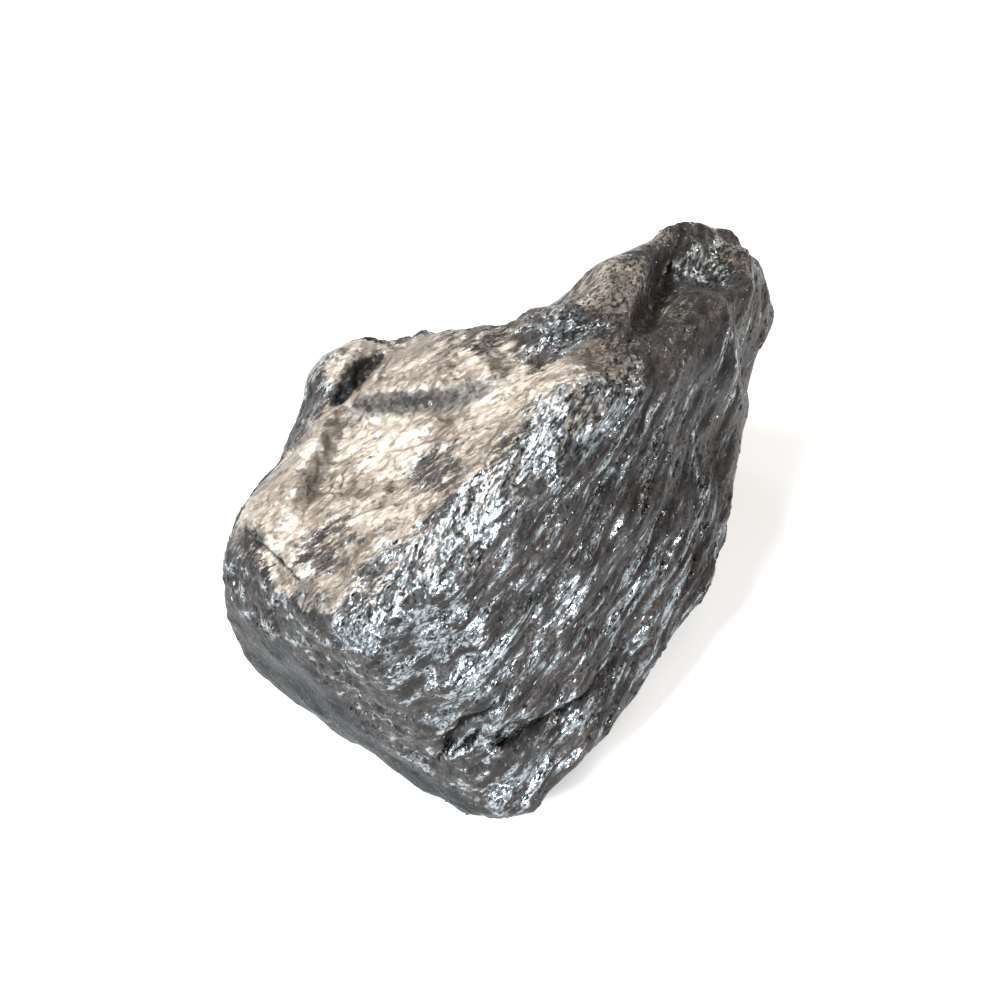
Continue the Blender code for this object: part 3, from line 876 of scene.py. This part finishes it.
def strayed(tree, coordinates):
    """The coordinates moved about, so that the outlines of what follows them are uneven."""
    stray = add_node(tree, "ShaderNodeTexNoise", {"Vector": coordinates, "Scale": 1.3, "Detail": 3.0})
    centred = add_node(
        tree, "ShaderNodeVectorMath", {0: stray.outputs["Color"], 1: (0.5, 0.5, 0.5)}, operation="SUBTRACT"
    )
    return add_node(
        tree,
        "ShaderNodeVectorMath",
        {0: centred.outputs[0], 1: (CELL_STRAY, CELL_STRAY, CELL_STRAY), 2: coordinates},
        operation="MULTIPLY_ADD",
    ).outputs[0]


def weighted(tree, terms):
    """The sum of some numbers, each of which counts by its own weight."""
    total = 0.0
    for value, weight in terms:
        added = add_node(tree, "ShaderNodeMath", {0: value, 1: weight, 2: total}, operation="MULTIPLY_ADD")
        total = added.outputs[0]
    return total


def film_and_reflection_share(tree, streaks, fine):
    """Where the tan film lies: partly its own colour, partly a painted warm reflection. Its edge follows the
    streaks on the cleavage face, the grain elsewhere.
    """
    ragged = stepped(tree, between(tree, mask(tree, "sheeted"), fine, streaks), 0.30, 0.70, -0.5, 0.5)
    return stepped(tree, weighted(tree, ((mask(tree, "tan_film_and_warm_reflection"), 1.0), (ragged, 1.0))), 0.36, 0.60)


def glint_share(tree, lenses):
    """Where glinting facets lie, with a painted highlight in their colour: in lenses, which crowd together
    here and there, but not on the butt end.
    """
    glitter, clusters = mask(tree, "glitter"), texture(tree, "clusters")
    lively = weighted(tree, ((lenses, 1.0), (glitter, 0.38), (clusters, 0.60)))
    return between(tree, mask(tree, "rubbed"), stepped(tree, lively, 0.93, 1.01), 0.0)


def bare_colour(tree, fine, lenses, glint, scratches):
    """Dull dark graphite with painted shade between its lenses and a painted highlight in its glinting
    lenses, and rubbed and scratched on the butt end.
    """
    patches = texture(tree, "patches")
    dull = between(tree, stepped(tree, patches, 0.45, 0.62), shade("graphite"), shade("brown"))
    dull = between(tree, stepped(tree, fine, 0.45, 0.70), dull, shade("steel"))
    # Painted shade: darker between the lenses.
    dull = between(tree, stepped(tree, lenses, 0.36, 0.54), shade("groove_shade"), dull)
    # Painted highlight: the glinting lenses are brightened in colour.
    painted_glint_tone = between(tree, stepped(tree, fine, 0.38, 0.62), shade("graphite"), shade("bright"))
    rubbed = between(tree, stepped(tree, patches, 0.42, 0.60), shade("rubbed"), shade("rubbed_brown"))
    rubbed = between(tree, stepped(tree, scratches, 0.38, 0.52), shade("scratch"), rubbed)
    return between(tree, mask(tree, "rubbed"), between(tree, glint, dull, painted_glint_tone), rubbed)


def film_and_reflection_colour(tree, streaks, sheets, flakes):
    """Tan to cream by streaks, sheets and flakes: partly the film's own tones, partly a painted warm
    reflection with painted highlights. Dark on the risers, partly painted shade.
    """
    sheet_tones, flake_tones = cell_tones(tree, sheets), cell_tones(tree, flakes)
    tone = weighted(
        tree,
        (
            (texture(tree, "broad"), 0.45), (streaks, 0.45), (sheet_tones, 0.10), (flake_tones, 0.16),
            (mask(tree, "pale"), 0.09),
        ),
    )
    light = between(tree, stepped(tree, tone, 0.47, 0.78), shade("tan"), shade("cream"))
    # The risers: partly their own darker tone, partly painted shade of steps turned from the light.
    riser_shade = between(tree, flake_tones, shade("riser_shade"), shade("riser_shade_pale"))
    step = weighted(tree, ((mask(tree, "riser_shade"), 1.0), (streaks, 0.5), (flake_tones, 0.20)))
    return between(tree, stepped(tree, step, 0.52, 1.28), light, riser_shade)


def fine_relief(tree, film_and_reflection, scratches):
    """The way that the surface is turned by scales, by wrinkles in the film, or by scratches."""
    rough = between(tree, film_and_reflection, texture(tree, "scales"), texture(tree, "wrinkles"))
    bump = add_node(
        tree,
        "ShaderNodeBump",
        {
            "Strength": 1.0,
            "Distance": between(tree, film_and_reflection, 0.13 * MM, 0.14 * MM),
            "Height": between(tree, mask(tree, "rubbed"), rough, scratches),
        },
    )
    return bump.outputs[0]


def graphite_finish():
    """Dull dark graphite with lenses of glinting facets, under a tan film on its cleavage face. The lenses
    carry a painted highlight, the film is partly a painted warm reflection, and painted shade darkens
    cracks, risers and the gaps between lenses.
    """
    material = bpy.data.materials.new("Foliated graphite")
    material.use_nodes = True
    tree = material.node_tree
    shader = tree.nodes["Principled BSDF"]
    rubbed, glitter = mask(tree, "rubbed"), mask(tree, "glitter")
    streaks, fine, lenses = texture(tree, "streaks"), texture(tree, "fine"), texture(tree, "lenses")
    scratches = texture(tree, "scratches")
    sheets, flakes = (strayed(tree, grained(tree, *CELLS[name])) for name in ("sheets", "flakes"))
    film_and_reflection = film_and_reflection_share(tree, streaks, fine)
    glint = glint_share(tree, lenses)

    # Small facets lean out of the surface, most of them in the lenses: those glint.
    steep = between(tree, glint, 0.55, between(tree, glitter, 0.50, 0.34))
    leans, sparks = leaning_facets(
        tree,
        grained(tree, *CELLS["glints"]),
        between(tree, film_and_reflection, steep, 0.0),
        between(tree, rubbed, between(tree, glint, 0.10, 0.55), 0.05),
        between(tree, film_and_reflection, between(tree, rubbed, 0.28, 0.14), 0.0),
    )
    broad_steep = between(tree, glint, 0.08, between(tree, glitter, 0.30, 0.44))
    broad_leans, _ = leaning_facets(tree, grained(tree, *CELLS["broad_glints"]), broad_steep, 0.5)
    sheet_leans, _ = leaning_facets(tree, sheets, between(tree, film_and_reflection, 0.0, 0.20), 0.7)
    flake_leans, _ = leaning_facets(tree, flakes, between(tree, film_and_reflection, 0.0, 0.34), 0.6)
    turned = fine_relief(tree, film_and_reflection, scratches)
    for lean in (leans, broad_leans, sheet_leans, flake_leans):
        turned = add_node(tree, "ShaderNodeVectorMath", {0: turned, 1: lean}, operation="ADD").outputs[0]
    turned = add_node(tree, "ShaderNodeVectorMath", {0: turned}, operation="NORMALIZE").outputs[0]
    tree.links.new(turned, shader.inputs["Normal"])

    bare = bare_colour(tree, fine, lenses, glint, scratches)
    colour = between(tree, film_and_reflection, bare, film_and_reflection_colour(tree, streaks, sheets, flakes))
    # Painted shade: the splits, cracks and cleft darkened nearly to black.
    colour = between(tree, stepped(tree, mask(tree, "crack_shade"), 0.25, 0.80), colour, shade("crack_shade_colour"))
    tree.links.new(colour, shader.inputs["Base Color"])

    metal = between(tree, rubbed, between(tree, glint, 0.55, 1.0), 0.30)
    tree.links.new(between(tree, film_and_reflection, metal, 0.85), shader.inputs["Metallic"])
    uncovered = add_node(tree, "ShaderNodeMath", {0: 1.0, 1: film_and_reflection}, operation="SUBTRACT").outputs[0]
    sparks = add_node(tree, "ShaderNodeMath", {0: sparks, 1: uncovered}, operation="MULTIPLY").outputs[0]
    rough = between(tree, sparks, between(tree, glint, 0.42, 0.32), between(tree, glitter, 0.20, 0.32))
    tree.links.new(between(tree, film_and_reflection, rough, 0.30), shader.inputs["Roughness"])
    shader.inputs["Specular IOR Level"].default_value = 0.12
    return material


def plate_finish():
    """The same graphite on the small plates: bare and bright, or tan where their ground carries the tan
    film, partly a painted warm reflection.
    """
    material = bpy.data.materials.new("Cleavage plate")
    material.use_nodes = True
    tree = material.node_tree
    shader = tree.nodes["Principled BSDF"]
    mottled = texture(tree, "plates")
    bare = between(tree, stepped(tree, mottled, 0.42, 0.62), shade("graphite"), shade("steel"))
    colour = between(tree, stepped(tree, mask(tree, "tan_film_and_warm_reflection"), 0.35, 0.75), bare, shade("tan"))
    tree.links.new(colour, shader.inputs["Base Color"])
    tree.links.new(between(tree, mottled, 0.20, 0.40), shader.inputs["Roughness"])
    shader.inputs["Metallic"].default_value = 0.9
    return material


def towards(azimuth, elevation):
    """The direction to something at this azimuth and elevation; azimuth 0 looks along +Y."""
    turn, rise = math.radians(azimuth), math.radians(elevation)
    return Vector((math.sin(turn) * math.cos(rise), -math.cos(turn) * math.cos(rise), math.sin(rise)))


def aim(item, target, direction, distance):
    item.location = target + direction * distance
    item.rotation_mode = "QUATERNION"
    item.rotation_quaternion = (-direction).to_track_quat("-Z", "Y")


def set_stage():
    """Pale paper in a dim room, soft boxes, and the camera."""
    scene = bpy.context.scene
    scene.view_settings.view_transform = "Standard"
    bpy.ops.mesh.primitive_plane_add(size=PAPER_WIDTH)
    paper = bpy.context.object
    paper.name = "pale_floor"
    white = bpy.data.materials.new("Pale paper")
    white.use_nodes = True
    shader = white.node_tree.nodes["Principled BSDF"]
    shader.inputs["Base Color"].default_value = (0.93, 0.93, 0.93, 1.0)
    shader.inputs["Roughness"].default_value = 0.9
    paper.data.materials.append(white)

    room = bpy.data.worlds.new("Dim room")
    scene.world = room
    room.use_nodes = True
    tree = room.node_tree
    dim = tree.nodes["Background"]
    dim.inputs["Color"].default_value = (1.0, 0.98, 0.96, 1.0)
    dim.inputs["Strength"].default_value = ROOM
    backdrop = add_node(tree, "ShaderNodeBackground", {"Color": (1.0, 1.0, 1.0, 1.0), "Strength": 1.0})
    seen = add_node(tree, "ShaderNodeLightPath").outputs["Is Camera Ray"]
    both = add_node(tree, "ShaderNodeMixShader", {0: seen, 1: dim.outputs[0], 2: backdrop.outputs[0]})
    tree.links.new(both.outputs[0], tree.nodes["World Output"].inputs["Surface"])

    target = Vector(CAMERA_TARGET) * MM
    for name, (azimuth, elevation, distance, size, watts, colour) in SOFT_BOXES.items():
        box = bpy.data.lights.new(name, "AREA")
        box.size = size
        box.energy = watts
        box.color = colour
        holder = bpy.data.objects.new(name, box)
        scene.collection.objects.link(holder)
        aim(holder, target, towards(azimuth, elevation), distance)

    lens = bpy.data.cameras.new("Camera")
    lens.lens = CAMERA["lens"]
    lens.sensor_width = CAMERA["sensor"]
    lens.clip_start = 0.01
    camera = bpy.data.objects.new("Camera", lens)
    scene.collection.objects.link(camera)
    aim(camera, target, towards(CAMERA["azimuth"], CAMERA["elevation"]), CAMERA_DISTANCE * MM)
    scene.camera = camera


set_stage()
lump = lay_skin()
lump.name = "graphite_lump"
plates = stand_plates(lump, plate_finish())
lump.data.materials.append(graphite_finish())
for piece in (lump, plates):
    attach(piece, "root")
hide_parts(LUMP)
